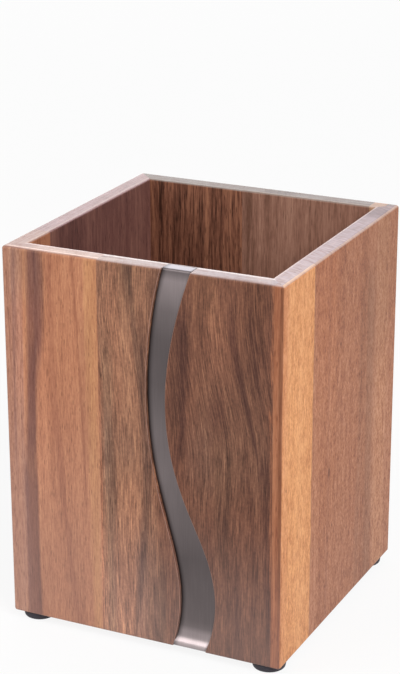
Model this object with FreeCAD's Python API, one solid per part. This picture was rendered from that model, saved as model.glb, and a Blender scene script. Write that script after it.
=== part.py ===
import FreeCAD, Part
import math
import os

# Square utensil caddy in glued hardwood with a curved steel strip let into the front.
# Millimetres. Origin: centre of the footprint, on the surface the feet stand on.
# +X right, +Y back (the front face looks towards -Y), +Z up.

# Wooden body
BODY_SIZE = 120.0             # outside width and depth
BODY_HEIGHT = 158.0           # wood only, without the feet
WALL_THICKNESS = 8.0
OUTER_EDGE_RADIUS = 1.2       # eased outer arrises
RIM_INNER_RADIUS = 0.8        # eased inner arris of the rim
BASE_THICKNESS = 8.0
REBATE_DEPTH = 3.0            # step in the walls that the base sits in

# Widths of the glued staves, from the corner each starts at; one more fills each wall
FRONT_LEFT_STAVE = 41.9
FRONT_EDGE_STAVE = 4.0        # at the right corner
RIGHT_FRONT_STAVE = 30.0
BACK_LEFT_STAVE = 52.0
BACK_PALE_STAVE = 6.0
BACK_EDGE_STAVE = 4.5         # at the right corner, beyond the pale one
LEFT_FRONT_STAVE = 24.5
BASE_LEFT_BOARD = 35.0
BASE_RIGHT_BOARD = 19.0

# Steel strip
STRIP_THICKNESS = 1.0
STRIP_RECESS = 1.5            # depth of its face behind the front of the wood
STRIP_GLUE_GAP = 0.2          # between the strip's back and the wood
STRIP_SIDE_GAP = 0.25         # between the strip's edges and the channel
STRIP_END_GAP = 0.2           # past the ends of the two tabs
STRIP_TOP_BEND = 2.0          # outside radius of the bend over the rim
STRIP_FOOT_BEND = 2.0         # outside radius of the bend under the wall
STRIP_KICK_RADIUS = 7.0       # hollow bend that brings the lower end forward
STRIP_KICK_ANGLE = 28.0       # degrees from upright
TOP_TAB_END = 6.8             # how far behind the front face the upper tab ends
LOW_TAB_END = 8.0             # the same for the lower tab
# Edges of the strip seen from the front: (share of the wood's height, x)
STRIP_LEFT_EDGE = ((-0.013, 12.7), (0.05, 15.5), (0.14, 16.9), (0.315, 12.0),
                   (0.505, 4.8), (0.68, 2.7), (0.855, 4.7), (1.013, 10.1))
STRIP_RIGHT_EDGE = ((-0.013, 26.3), (0.05, 29.9), (0.14, 31.8), (0.25, 28.8), (0.38, 20.0),
                    (0.505, 13.2), (0.68, 10.5), (0.855, 14.5), (1.013, 22.2))

# Tape behind the strip
TAPE_INSET = 1.0              # from the strip's edges
TAPE_END_INSET = 3.0          # from the ends of the strip's flat run

# Feet
FOOT_RADIUS = 7.0
FOOT_BOTTOM_RADIUS = 6.5      # before its edge is rounded
FOOT_HEIGHT = 3.2
FOOT_EDGE_RADIUS = 1.0
FOOT_INSET = 8.0              # centre of a foot from the outside faces
FOOT_GLUE_RADIUS = 6.4
FOOT_GLUE_THICKNESS = 0.2

# Positions that follow from the sizes
HALF = BODY_SIZE / 2.0
BODY_BOTTOM = FOOT_HEIGHT + FOOT_GLUE_THICKNESS
BODY_TOP = BODY_BOTTOM + BODY_HEIGHT
WELL_HALF = HALF - WALL_THICKNESS
BASE_HALF = WELL_HALF + REBATE_DEPTH
FRONT_FACE = -HALF
FRONT_JOINTS = (-HALF + FRONT_LEFT_STAVE, HALF - FRONT_EDGE_STAVE)
RIGHT_JOINTS = (-HALF + RIGHT_FRONT_STAVE,)
BACK_JOINTS = (
    -HALF + BACK_LEFT_STAVE,
    HALF - BACK_EDGE_STAVE - BACK_PALE_STAVE,
    HALF - BACK_EDGE_STAVE,
)
LEFT_JOINTS = (-HALF + LEFT_FRONT_STAVE,)
BASE_JOINTS = (-BASE_HALF + BASE_LEFT_BOARD, BASE_HALF - BASE_RIGHT_BOARD)
CUT_MARGIN = 5.0              # how far the cutting shapes reach past the wood


def point(x, y, z):
    return FreeCAD.Vector(x, y, z)


def box_between(low, high):
    return Part.makeBox(high[0] - low[0], high[1] - low[1], high[2] - low[2], point(*low))


def single_solid(shape):
    return shape.removeSplitter().Solids[0]


def edges_at_height(shape, height, half_reach):
    """Straight level edges at one height that lie within half_reach of the centre line."""
    found = []
    for edge in shape.Edges:
        ends = [vertex.Point for vertex in edge.Vertexes]
        level = all(abs(end.z - height) < 1e-6 for end in ends)
        inside = all(max(abs(end.x), abs(end.y)) < half_reach for end in ends)
        if level and inside:
            found.append(edge)
    return found


def wall_ring():
    """The four walls as one shape: eased outside, open well, step for the base."""
    outside = box_between((-HALF, -HALF, BODY_BOTTOM), (HALF, HALF, BODY_TOP))
    outside = outside.makeFillet(OUTER_EDGE_RADIUS, outside.Edges)
    well = box_between(
        (-WELL_HALF, -WELL_HALF, BODY_BOTTOM - CUT_MARGIN),
        (WELL_HALF, WELL_HALF, BODY_TOP + CUT_MARGIN),
    )
    ring = outside.cut(well)
    rim_edges = edges_at_height(ring, BODY_TOP, WELL_HALF + RIM_INNER_RADIUS)
    ring = ring.makeFillet(RIM_INNER_RADIUS, rim_edges)
    rebate = box_between(
        (-BASE_HALF, -BASE_HALF, BODY_BOTTOM - CUT_MARGIN),
        (BASE_HALF, BASE_HALF, BODY_BOTTOM + BASE_THICKNESS),
    )
    return ring.cut(rebate)


def mitre_wedge(turns):
    """Wedge between the diagonals that holds the front wall, turned by quarter turns."""
    reach = HALF + CUT_MARGIN
    low = BODY_BOTTOM - CUT_MARGIN
    corners = (point(0, 0, low), point(-reach, -reach, low), point(reach, -reach, low))
    outline = Part.makePolygon(corners + corners[:1])
    wedge = Part.Face(outline).extrude(point(0, 0, BODY_HEIGHT + 2.0 * CUT_MARGIN))
    wedge.rotate(point(0, 0, 0), point(0, 0, 1), 90.0 * turns)
    return wedge


def spans(joints):
    """Pairs of limits along a wall, from one end over its glue joints to the other."""
    stops = (-HALF - CUT_MARGIN,) + tuple(joints) + (HALF + CUT_MARGIN,)
    return list(zip(stops[:-1], stops[1:]))


def staves_of_wall(ring, turns, joints, along_x):
    """Staves of one wall, in order of rising x or y."""
    wall = ring.common(mitre_wedge(turns))
    reach = HALF + CUT_MARGIN
    low = BODY_BOTTOM - CUT_MARGIN
    high = BODY_TOP + CUT_MARGIN
    staves = []
    for start, end in spans(joints):
        if along_x:
            slab = box_between((start, -reach, low), (end, reach, high))
        else:
            slab = box_between((-reach, start, low), (reach, end, high))
        staves.append(single_solid(wall.common(slab)))
    return staves


def base_boards():
    stops = (-BASE_HALF,) + BASE_JOINTS + (BASE_HALF,)
    boards = []
    for start, end in zip(stops[:-1], stops[1:]):
        low = (start, -BASE_HALF, BODY_BOTTOM)
        high = (end, BASE_HALF, BODY_BOTTOM + BASE_THICKNESS)
        boards.append(box_between(low, high))
    return boards


class StripProfile:
    """Side view of the strip: a chain of lines and arcs at a given depth below its face."""

    def __init__(self):
        angle = math.radians(STRIP_KICK_ANGLE)
        self.angle = angle
        self.face_y = FRONT_FACE + STRIP_RECESS
        kick_run = STRIP_KICK_RADIUS * (1.0 - math.cos(angle))
        bend_run = STRIP_FOOT_BEND * (1.0 - math.cos(angle))
        self.ramp = (STRIP_RECESS - kick_run - bend_run) / math.sin(angle)
        self.bend_start_z = BODY_BOTTOM + STRIP_FOOT_BEND * (1.0 + math.sin(angle))
        self.ramp_start_z = self.bend_start_z + self.ramp * math.cos(angle)
        self.kick_start_z = self.ramp_start_z + STRIP_KICK_RADIUS * math.sin(angle)
        self.top_bend_z = BODY_TOP - STRIP_TOP_BEND

    def arc(self, centre, radius, start, end):
        """Arc in the side plane; angles in radians from +Y towards +Z."""
        marks = []
        for turn in (start, (start + end) / 2.0, end):
            y = centre[0] + radius * math.cos(turn)
            z = centre[1] + radius * math.sin(turn)
            marks.append(point(0, y, z))
        return Part.Arc(*marks).toShape()

    def chain(self, depth, top_end, low_end):
        """Edges from the upper tab's end to the lower tab's end, depth below the face."""
        top_centre = (self.face_y + STRIP_TOP_BEND, self.top_bend_z)
        kick_centre = (self.face_y - STRIP_KICK_RADIUS, self.kick_start_z)
        bend_centre = (FRONT_FACE + STRIP_FOOT_BEND, BODY_BOTTOM + STRIP_FOOT_BEND)
        half_turn = math.pi
        top_bend = self.arc(top_centre, STRIP_TOP_BEND - depth, half_turn / 2.0, half_turn)
        kick = self.arc(kick_centre, STRIP_KICK_RADIUS + depth, 0.0, -self.angle)
        foot_bend = self.arc(
            bend_centre, STRIP_FOOT_BEND - depth, half_turn - self.angle, 1.5 * half_turn
        )
        top_z = BODY_TOP - depth
        low_z = BODY_BOTTOM + depth
        return [
            Part.makeLine(point(0, top_end, top_z), point(0, top_centre[0], top_z)),
            top_bend,
            Part.makeLine(top_bend.Vertexes[-1].Point, kick.Vertexes[0].Point),
            kick,
            Part.makeLine(kick.Vertexes[-1].Point, foot_bend.Vertexes[0].Point),
            foot_bend,
            Part.makeLine(foot_bend.Vertexes[-1].Point, point(0, low_end, low_z)),
        ]


def strip_outline(margin):
    """Front outline of the strip, widened by margin, as a prism through the front wall."""
    y = FRONT_FACE - CUT_MARGIN
    sides = []
    for stations, outward in ((STRIP_LEFT_EDGE, -margin), (STRIP_RIGHT_EDGE, margin)):
        curve = Part.BSplineCurve()
        heights = [BODY_BOTTOM + share * BODY_HEIGHT for share, x in stations]
        marks = [point(x + outward, y, z) for (share, x), z in zip(stations, heights)]
        curve.interpolate(marks)
        sides.append(curve.toShape())
    left, right = sides
    low_line = Part.makeLine(left.Vertexes[0].Point, right.Vertexes[0].Point)
    top_line = Part.makeLine(left.Vertexes[-1].Point, right.Vertexes[-1].Point)
    outline = Part.Wire(Part.__sortEdges__([left, right, low_line, top_line]))
    return Part.Face(outline).extrude(point(0, WALL_THICKNESS + 2.0 * CUT_MARGIN, 0))


def along_x(edges):
    """Solid from a closed side outline, long enough to cover the strip's whole width."""
    reach = max(x for share, x in STRIP_RIGHT_EDGE) + CUT_MARGIN
    face = Part.Face(Part.Wire(Part.__sortEdges__(edges)))
    return face.extrude(point(reach, 0, 0))


def steel_strip(profile):
    top_end = FRONT_FACE + TOP_TAB_END
    low_end = FRONT_FACE + LOW_TAB_END
    outer = profile.chain(0.0, top_end, low_end)
    inner = profile.chain(STRIP_THICKNESS, top_end, low_end)
    top_line = Part.makeLine(outer[0].Vertexes[0].Point, inner[0].Vertexes[0].Point)
    low_line = Part.makeLine(outer[-1].Vertexes[-1].Point, inner[-1].Vertexes[-1].Point)
    ribbon = along_x(outer + inner + [top_line, low_line])
    return single_solid(ribbon.common(strip_outline(0.0)))


def strip_channel(profile):
    """Shape removed from the wood to take the strip."""
    top_end = FRONT_FACE + TOP_TAB_END + STRIP_END_GAP
    low_end = FRONT_FACE + LOW_TAB_END + STRIP_END_GAP
    floor = profile.chain(STRIP_THICKNESS + STRIP_GLUE_GAP, top_end, low_end)
    start = floor[0].Vertexes[0].Point
    end = floor[-1].Vertexes[-1].Point
    outside_y = FRONT_FACE - CUT_MARGIN
    corners = [
        start,
        point(0, start.y, BODY_TOP + CUT_MARGIN),
        point(0, outside_y, BODY_TOP + CUT_MARGIN),
        point(0, outside_y, BODY_BOTTOM - CUT_MARGIN),
        point(0, end.y, BODY_BOTTOM - CUT_MARGIN),
        end,
    ]
    lines = [Part.makeLine(a, b) for a, b in zip(corners[:-1], corners[1:])]
    return along_x(floor + lines).common(strip_outline(STRIP_SIDE_GAP))


def strip_tape(profile):
    back = profile.face_y + STRIP_THICKNESS
    low = (0.0, back, profile.kick_start_z + TAPE_END_INSET)
    high = (HALF, back + STRIP_GLUE_GAP, profile.top_bend_z - TAPE_END_INSET)
    return single_solid(box_between(low, high).common(strip_outline(-TAPE_INSET)))


def foot_centres():
    place = HALF - FOOT_INSET
    return {
        "foot_front_left": (-place, -place),
        "foot_front_right": (place, -place),
        "foot_back_left": (-place, place),
        "foot_back_right": (place, place),
    }


def rubber_foot(x, y):
    """Tapered disc with a rounded lower edge."""
    foot = Part.makeCone(FOOT_BOTTOM_RADIUS, FOOT_RADIUS, FOOT_HEIGHT)
    low_edges = [e for e in foot.Edges if e.BoundBox.ZMax < FOOT_EDGE_RADIUS]
    foot = foot.makeFillet(FOOT_EDGE_RADIUS, low_edges)
    foot.translate(point(x, y, 0))
    return foot.Solids[0]


def foot_glue(x, y):
    return Part.makeCylinder(FOOT_GLUE_RADIUS, FOOT_GLUE_THICKNESS, point(x, y, FOOT_HEIGHT))


def build_nodes():
    ring = wall_ring()
    profile = StripProfile()
    channel = strip_channel(profile)
    front = staves_of_wall(ring, 0, FRONT_JOINTS, True)
    right = staves_of_wall(ring, 1, RIGHT_JOINTS, False)
    back = staves_of_wall(ring, 2, BACK_JOINTS, True)
    left = staves_of_wall(ring, 3, LEFT_JOINTS, False)
    boards = base_boards()
    nodes = {
        "front_stave_left": front[0],
        "front_stave_wide": single_solid(front[1].cut(channel)),
        "front_stave_edge": front[2],
        "right_stave_front": right[0],
        "right_stave_wide": right[1],
        "back_stave_left": back[0],
        "back_stave_right": back[1],
        "back_stave_pale": back[2],
        "back_stave_edge": back[3],
        "left_stave_front": left[0],
        "left_stave_wide": left[1],
        "base_board_left": boards[0],
        "base_board_middle": single_solid(boards[1].cut(channel)),
        "base_board_right": boards[2],
        "steel_strip": steel_strip(profile),
        "strip_tape": strip_tape(profile),
    }
    for name, (x, y) in foot_centres().items():
        nodes[name] = rubber_foot(x, y)
    glue = [foot_glue(x, y) for x, y in foot_centres().values()]
    nodes["foot_glue_discs"] = Part.makeCompound(glue)
    return nodes


def main():
    os.makedirs("parts", exist_ok=True)
    for name, shape in build_nodes().items():
        shape.exportStep(os.path.join("parts", name + ".step"))


main()
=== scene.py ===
import logging
import math
from collections.abc import Iterable, Sequence
from dataclasses import dataclass
from enum import Enum
from functools import partial

import bmesh
import bpy
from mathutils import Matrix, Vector


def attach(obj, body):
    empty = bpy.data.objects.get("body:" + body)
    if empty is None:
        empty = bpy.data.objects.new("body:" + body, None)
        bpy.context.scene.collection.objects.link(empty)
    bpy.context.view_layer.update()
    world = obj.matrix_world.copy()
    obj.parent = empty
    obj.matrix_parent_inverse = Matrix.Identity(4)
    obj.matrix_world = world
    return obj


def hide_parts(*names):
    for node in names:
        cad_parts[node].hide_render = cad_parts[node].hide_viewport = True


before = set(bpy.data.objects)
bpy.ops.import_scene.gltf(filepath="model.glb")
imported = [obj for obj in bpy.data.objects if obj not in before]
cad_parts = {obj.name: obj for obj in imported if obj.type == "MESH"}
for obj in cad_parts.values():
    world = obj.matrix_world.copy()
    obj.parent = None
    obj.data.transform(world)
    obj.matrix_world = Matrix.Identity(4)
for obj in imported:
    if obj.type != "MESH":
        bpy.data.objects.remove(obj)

# Square utensil caddy: glued hardwood staves, a curved steel strip let into the front,
# and rubber feet. Lengths in the classes are millimetres, as a maker writes them, and
# are turned into metres where a mesh or a node is made. +X right, +Y back, +Z up.

LOG = logging.getLogger("caddy")
MM = 0.001
PER_METRE = 1000.0
ROOT = "root"
FOOT = 3.4
HEIGHT = 158.0
HALF = 60.0
WALL = 8.0
FRONT = -HALF
RIM = FOOT + HEIGHT

Colour = tuple[float, float, float]
Triple = tuple[float, float, float]
Socket = bpy.types.NodeSocket
Feed = Socket | float | str | Sequence[float]
Inputs = dict[str | int, Feed]

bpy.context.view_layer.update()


class Along(Enum):
    """The level direction that a wall or a board runs in."""

    X = "x"
    Y = "y"


class Share(Enum):
    """Sockets of a colour-mix node, by place."""

    FIRST = 6
    SECOND = 7
    RESULT = 2


class NodeWriter:
    """Adds nodes to one tree and links them, so that a finish reads like a formula."""

    def __init__(self, tree: bpy.types.NodeTree) -> None:
        """Starts on an empty tree."""
        self.tree = tree
        tree.nodes.clear()

    def add(self, kind: str, inputs: Inputs | None = None, **settings: object) -> bpy.types.Node:
        """Adds one node.

        Args:
            kind: Blender's name of the node type.
            inputs: what goes into its sockets, by their name or place.
            settings: attributes to set on it.

        Returns:
            The new node.
        """
        node = self.tree.nodes.new(kind)
        for name, value in settings.items():
            setattr(node, name, value)
        for key, value in (inputs or {}).items():
            self.feed(node.inputs[key], value)
        return node

    def feed(self, socket: Socket, value: Feed) -> None:
        """Links a socket to another, or sets its own number, name or colour.

        Args:
            socket: the input to fill.
            value: a socket, a number, a name or a row of numbers.
        """
        if isinstance(value, bpy.types.NodeSocket):
            self.tree.links.new(value, socket)
        elif isinstance(value, (int, float, str)):
            socket.default_value = value
        else:
            own = socket.default_value
            socket.default_value = (*value, 1.0) if len(own) > len(value) else value

    def math(self, operation: str, *values: Feed) -> Socket:
        """The result of one math operation on numbers."""
        return self.add("ShaderNodeMath", dict(enumerate(values)), operation=operation).outputs[0]

    def combine(self, x: Feed, y: Feed, z: Feed) -> Socket:
        """A vector from three numbers."""
        return self.add("ShaderNodeCombineXYZ", {0: x, 1: y, 2: z}).outputs[0]

    def split(self, vector: Socket) -> tuple[Socket, Socket, Socket]:
        """The three numbers of a vector."""
        return tuple(self.add("ShaderNodeSeparateXYZ", {0: vector}).outputs)

    def millimetres(self) -> tuple[Socket, Socket, Socket]:
        """Object coordinates in millimetres.

        Returns:
            Across and through the front wall, and up from the top of the feet.
        """
        x, y, z = self.split(self.add("ShaderNodeTexCoord").outputs["Object"])
        x, y = (self.math("MULTIPLY", part, PER_METRE) for part in (x, y))
        return x, y, self.math("MULTIPLY_ADD", z, PER_METRE, -FOOT)

    def cells(self, place: Iterable[Socket], size: Iterable[float]) -> Socket:
        """A place measured in features of the given size."""
        return self.combine(*(self.math("DIVIDE", part, step) for part, step in zip(place, size)))

    def noise(self, place: Socket, detail: float = 2.0, roughness: float = 0.5) -> Socket:
        """Smooth noise from 0 to 1 with features about one unit wide.

        Args:
            place: where it is read, already divided by the feature sizes.
            detail: octaves of finer noise.
            roughness: how strong the finer octaves are.

        Returns:
            The noise value.
        """
        inputs = {"Vector": place, "Scale": 1.0, "Detail": detail, "Roughness": roughness}
        return self.add("ShaderNodeTexNoise", inputs).outputs["Fac"]

    def swayed(self, start: Feed, parts: Iterable[tuple[Socket, float]]) -> Socket:
        """Moves a value by noises.

        Args:
            start: the value without them.
            parts: each noise, which swings about one half, and its weight.

        Returns:
            The moved value.
        """
        for value, weight in parts:
            start = self.math("MULTIPLY_ADD", self.math("SUBTRACT", value, 0.5), weight, start)
        return start

    def ease(
        self, value: Feed, start: Feed, end: Feed, low: Feed = 0.0, high: Feed = 1.0
    ) -> Socket:
        """A smooth step.

        Args:
            value: the number that is mapped.
            start: where the step begins.
            end: where it ends.
            low: the result before it.
            high: the result after it.

        Returns:
            The mapped number.
        """
        inputs = dict(enumerate((value, start, end, low, high)))
        node = self.add("ShaderNodeMapRange", inputs, interpolation_type="SMOOTHSTEP")
        return node.outputs[0]

    def blend(self, share: Feed, first: Feed, second: Feed, mode: str = "MIX") -> Socket:
        """Mixes two colours.

        Args:
            share: how much of the second shows.
            first: the colour below.
            second: the colour above.
            mode: Blender's blend mode.

        Returns:
            The mixed colour.
        """
        inputs = {0: share, Share.FIRST.value: first, Share.SECOND.value: second}
        node = self.add("ShaderNodeMix", inputs, data_type="RGBA", blend_type=mode)
        return node.outputs[Share.RESULT.value]

    def ramp(self, value: Socket, stops: Sequence[tuple[float, Colour]]) -> Socket:
        """A colour ramp.

        Args:
            value: where the ramp is read.
            stops: places and colours in rising order.

        Returns:
            The colour.
        """
        node = self.add("ShaderNodeValToRGB", {0: value})
        bar = node.color_ramp
        bar.interpolation = "LINEAR"
        while len(bar.elements) < len(stops):
            bar.elements.new(1.0)
        for element, (place, colour) in zip(bar.elements, stops):
            element.position = place
            element.color = (*colour, 1.0)
        return node.outputs[0]

    def surface(self, inputs: Inputs, relief: Socket, strength: float, depth: float) -> None:
        """Ends a material in a principled surface with a fine relief.

        Args:
            inputs: the surface's colour and other inputs, by name.
            relief: height of the relief, from 0 to 1.
            strength: how strongly it shows.
            depth: millimetres from its lowest to its highest point.
        """
        fine = {"Strength": strength, "Distance": depth * MM, "Height": relief}
        normal = self.add("ShaderNodeBump", fine).outputs[0]
        shader = self.add("ShaderNodeBsdfPrincipled", inputs | {"Normal": normal})
        self.add("ShaderNodeOutputMaterial", {"Surface": shader.outputs[0]})


def new_material(name: str) -> bpy.types.Material:
    """A material with a node tree.

    Args:
        name: the material's name.

    Returns:
        The material.
    """
    material = bpy.data.materials.new(name)
    material.use_nodes = True
    return material


def toned(colour: Colour, factor: float, grey: float = 0.0) -> Colour:
    """A colour made darker or lighter and drawn towards its own grey.

    Args:
        colour: linear red, green and blue.
        factor: brightness factor.
        grey: share of grey from 0 to 1.

    Returns:
        The new colour.
    """
    level = sum(colour) / 3.0
    return tuple(factor * (part + (level - part) * grey) for part in colour)


@dataclass(frozen=True)
class Tones:
    """Dark, middle and pale colour of one wood, in linear light."""

    dark: Colour
    middle: Colour
    pale: Colour

    def scaled(self, dark: float, middle: float, pale: float) -> "Tones":
        """The same wood with each tone made darker or lighter."""
        return Tones(toned(self.dark, dark), toned(self.middle, middle), toned(self.pale, pale))

    def darker(self, middle: float) -> "Tones":
        """The same wood without its pale tone, its middle one made darker."""
        return Tones(self.dark, toned(self.middle, middle), self.middle)


class Palette:
    """The woods of the staves and boards."""

    ORANGE = Tones((0.27, 0.10, 0.055), (0.46, 0.19, 0.103), (0.60, 0.28, 0.15))
    BROWN = Tones((0.055, 0.022, 0.014), (0.172, 0.069, 0.042), (0.34, 0.15, 0.085))
    RED = Tones((0.17, 0.05, 0.025), (0.32, 0.118, 0.058), (0.45, 0.19, 0.10))
    HONEY = Tones((0.48, 0.17, 0.055), (0.72, 0.32, 0.122), (0.86, 0.44, 0.20))
    PINK = Tones((0.22, 0.062, 0.028), (0.402, 0.158, 0.077), (0.53, 0.25, 0.148))
    PLUM = Tones((0.05, 0.022, 0.02), (0.105, 0.045, 0.038), (0.17, 0.08, 0.062))
    WARM_BROWN = Tones((0.18, 0.085, 0.056), (0.33, 0.165, 0.115), (0.46, 0.25, 0.175))
    TAN = Tones((0.30, 0.16, 0.09), (0.52, 0.31, 0.19), (0.66, 0.43, 0.28))


@dataclass(frozen=True)
class Streak:
    """A band of darker or paler wood that runs up a stave and tints what lies under it.

    Its course passes through low, middle and high, at the foot, the middle and the top.
    Ragged scales the waver of its sides, and the two shares end it short of foot or top.
    """

    low: float
    middle: float
    high: float
    half_width: float
    tint: Colour
    softness: float = 1.0
    ragged: float = 1.0
    from_share: float = -1.0
    to_share: float = 2.0
    fade: float = 0.08


def upright(at: float, half_width: float, tint: Colour, *more: float, **named: float) -> Streak:
    """A streak that runs straight up.

    Args:
        at: its place across the stave.
        half_width: half its width.
        tint: its colour factor.
        more: the streak's other values, in order.
        named: the same by name.

    Returns:
        The streak.
    """
    return Streak(at, at, at, half_width, tint, *more, **named)


@dataclass(frozen=True)
class Knot:
    """A small dark pin knot on the outside of a stave."""

    across: float
    height: float
    half_width: float = 0.6
    half_height: float = 1.6


@dataclass(frozen=True)
class WoodFinish:
    """Lacquered hardwood of one stave.

    The end values dress the sawn end on the rim, paler than the wood in part as painted
    sheen of its lacquer, and end_far is its colour at the wall's right or back corner. The
    arris values paint pale highlight lines along the rim's arrises, the lines say how far
    in these lie, and each contrast weighs one layer of the figure.
    """

    name: str
    wood: Tones
    along: Along = Along.X
    seed: float = 0.0
    # partly painted sheen: the end colours are paler than the wood, standing in for the lacquer's
    # grazing reflection
    end: Colour = (0.35, 0.21, 0.21)
    end_far: Colour | None = None
    end_rays: float = 0.6
    end_rings: float = 1.5
    end_gloss: float = 0.7
    end_turn: tuple[float, float] = (0.35, 0.75)
    end_streaks: tuple[Streak, ...] = ()
    # painted highlights: colours, places and strengths of the pale lines along the rim's arrises
    arris: Colour = (0.62, 0.44, 0.38)
    arris_inner: Colour | None = None
    outer_line: float = 1.3
    inner_line: float = 0.75
    outer_wear: float = 1.0
    inner_wear: float = 1.0
    line_width: float = 1.2
    wear: float = 1.0
    band_contrast: float = 1.0
    line_contrast: float = 1.0
    fibre_contrast: float = 1.0
    speckle_contrast: float = 0.25
    mottle_contrast: float = 0.0
    band_width: float = 9.0
    band_length: float = 210.0
    # painted light: paler, greyer colour towards the foot, as light from the pale floor
    foot_haze: float = 0.15
    haze_reach: float = 0.45
    bow_left: float = 0.0
    bow_right: float = 0.0
    wander: float = 2.5
    fibre_width: float = 0.62
    fibre_length: float = 8.0
    fleck_strength: float = 0.5
    fleck_length: float = 5.0
    fleck_width: float = 0.95
    streaks: tuple[Streak, ...] = ()
    knots: tuple[Knot, ...] = ()

    def material(self) -> bpy.types.Material:
        """Builds the lacquered wood.

        Returns:
            The material.
        """
        material = new_material(self.name)
        WoodWriter(material.node_tree, self).write()
        return material


@dataclass(frozen=True)
class Pattern:
    """Noise in the wood: how far a feature reaches, and the share of finer ones in it.

    With no height, the pattern is the same all the way up.
    """

    width: float
    depth: float
    height: float | None
    detail: float
    roughness: float = 0.5


class WoodWriter(NodeWriter):
    """Writes the lacquered wood of one stave.

    Its places are in millimetres: across the stave, through it (depth) and up it (height).
    Share is the height as a share, grain stays the same along one fibre, and edge makes
    the sides of the streaks ragged.
    """

    SWAY = Pattern(30.0, 40.0, 70.0, 1.0)
    BOW_SHARES = (0.50, 0.92)
    BOW_REACH = 30.0
    BAND_DEPTH = 22.0
    BAND_DETAIL = 1.5
    BAND_WEIGHT = 1.5
    LINE = Pattern(1.9, 9.0, 62.0, 3.0, 0.65)
    LINE_WEIGHT = 1.3
    FIBRE_DEPTH = 1.4
    FIBRE_DETAIL = (2.5, 0.6)
    SPECKLE = Pattern(0.75, 0.75, 1.4, 2.0, 0.6)
    MOTTLE = Pattern(2.6, 2.6, 7.0, 1.0)
    TONE_STOPS = (0.05, 0.5, 0.95)
    RAGGED_REACH = 5.0
    PORE_DEPTH = 1.3
    PORE_PICK = (0.2, 1.0)
    PORE_SIZE = 0.42
    PORE_CORE = 0.4
    PORE_SHADE = 0.6
    KNOT_HALO = (0.8, 3.2, 0.35)
    KNOT_CORE = (0.4, 1.3, 0.85)
    KNOT_SHADE = 0.45
    # painted light near the foot: the pale floor's tint
    HAZE: Colour = (0.55, 0.46, 0.44)
    RINGS = Pattern(18.0, 1.5, None, 2.5, 0.6)
    RAYS = Pattern(1.3, 6.0, None, 2.0)
    RAY_SLANT = 0.45
    PATCHES = Pattern(9.0, 9.0, None, 1.0)
    PATCH_WEIGHT = 0.9
    END_SHADES = (
        (0.05, (0.50, 0.40, 0.42)),
        (0.38, (0.93, 0.84, 0.82)),
        (0.62, (1.0, 1.08, 1.16)),
        (0.95, (1.32, 1.35, 1.32)),
    )
    # paler outer arrises: rubbed wear and painted highlight
    WORN_BAND = (-1.3, -0.45)
    WORN_UPRIGHT = 0.18
    WORN_LEVEL = 0.15
    WORN_TONE = (1.15, 0.25)
    WORN_BREAKS = (0.3, 0.7)
    WORN_LEAST = 0.25
    # painted highlight lines along the rim's arrises
    RIM_BAND = (0.9, 0.3)
    RIM_BREAKS = (0.3, 0.6)
    RIM_LEAST = 0.6
    ARRIS_CORE = 0.3
    ARRIS_EDGE = 0.7
    ROUGHNESS = 0.42
    ROUGH_FIBRE = 0.16
    ROUGH_PORE = 0.18
    COAT = 0.08
    LACQUER = {"Specular IOR Level": 0.15, "Coat Roughness": 0.26, "Coat IOR": 1.45}
    RELIEF_FIBRE = 0.5
    RELIEF_PORE = -0.8
    RELIEF = (0.35, 0.12)

    def __init__(self, tree: bpy.types.NodeTree, finish: WoodFinish) -> None:
        """Reads the places and the figure of the wood.

        Args:
            tree: the material's tree.
            finish: what the wood looks like.
        """
        super().__init__(tree)
        self.finish = finish
        x, y, self.height = self.millimetres()
        self.across, self.depth = (x, y) if finish.along is Along.X else (y, x)
        self.share = self.math("DIVIDE", self.height, HEIGHT)
        self.grain = self._grain_line()
        band = Pattern(finish.band_width, self.BAND_DEPTH, finish.band_length, self.BAND_DETAIL)
        fibre = Pattern(
            finish.fibre_width, self.FIBRE_DEPTH, finish.fibre_length, *self.FIBRE_DETAIL
        )
        self.band = self._read(band, self.grain)
        self.line = self._read(self.LINE, self.grain)
        self.fibre = self._read(fibre, self.grain)
        edge = self.math("SUBTRACT", self.math("ADD", self.line, self.band), 1.0)
        self.edge = self.math("MULTIPLY", edge, self.RAGGED_REACH)

    def _place(
        self, across: Socket, width: float, depth: float, height: float | None
    ) -> Socket:
        """A place in the stave measured in features, and shifted by the seed.

        Args:
            across: the place across the stave, or across its grain.
            width: how far a feature reaches that way.
            depth: how far it reaches through the stave.
            height: how far it reaches up it, or None for all the way.

        Returns:
            The place as a vector.
        """
        seed = self.finish.seed
        return self.combine(
            self.math("MULTIPLY_ADD", across, 1.0 / width, seed),
            self.math("DIVIDE", self.depth, depth),
            self.math("DIVIDE", self.height, height) if height else seed,
        )

    def _read(self, pattern: Pattern, across: Socket) -> Socket:
        """The noise of a pattern at a place across the stave, or across its grain."""
        place = self._place(across, pattern.width, pattern.depth, pattern.height)
        return self.noise(place, pattern.detail, pattern.roughness)

    def write(self) -> None:
        """Lays figure, streaks, pores, knots, painted pale light towards the foot, end grain,
        rubbed and highlit edges, and painted arris highlights in turn.
        """
        finish = self.finish
        colour = self._figure()
        for streak in finish.streaks:
            colour = self._with_streak(colour, streak)
        pores = self._pores()
        shown = self.math("MULTIPLY", pores, finish.fleck_strength)
        colour = self.blend(shown, colour, toned(finish.wood.dark, self.PORE_SHADE))
        for knot in finish.knots:
            colour = self._with_knot(colour, knot)
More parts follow.
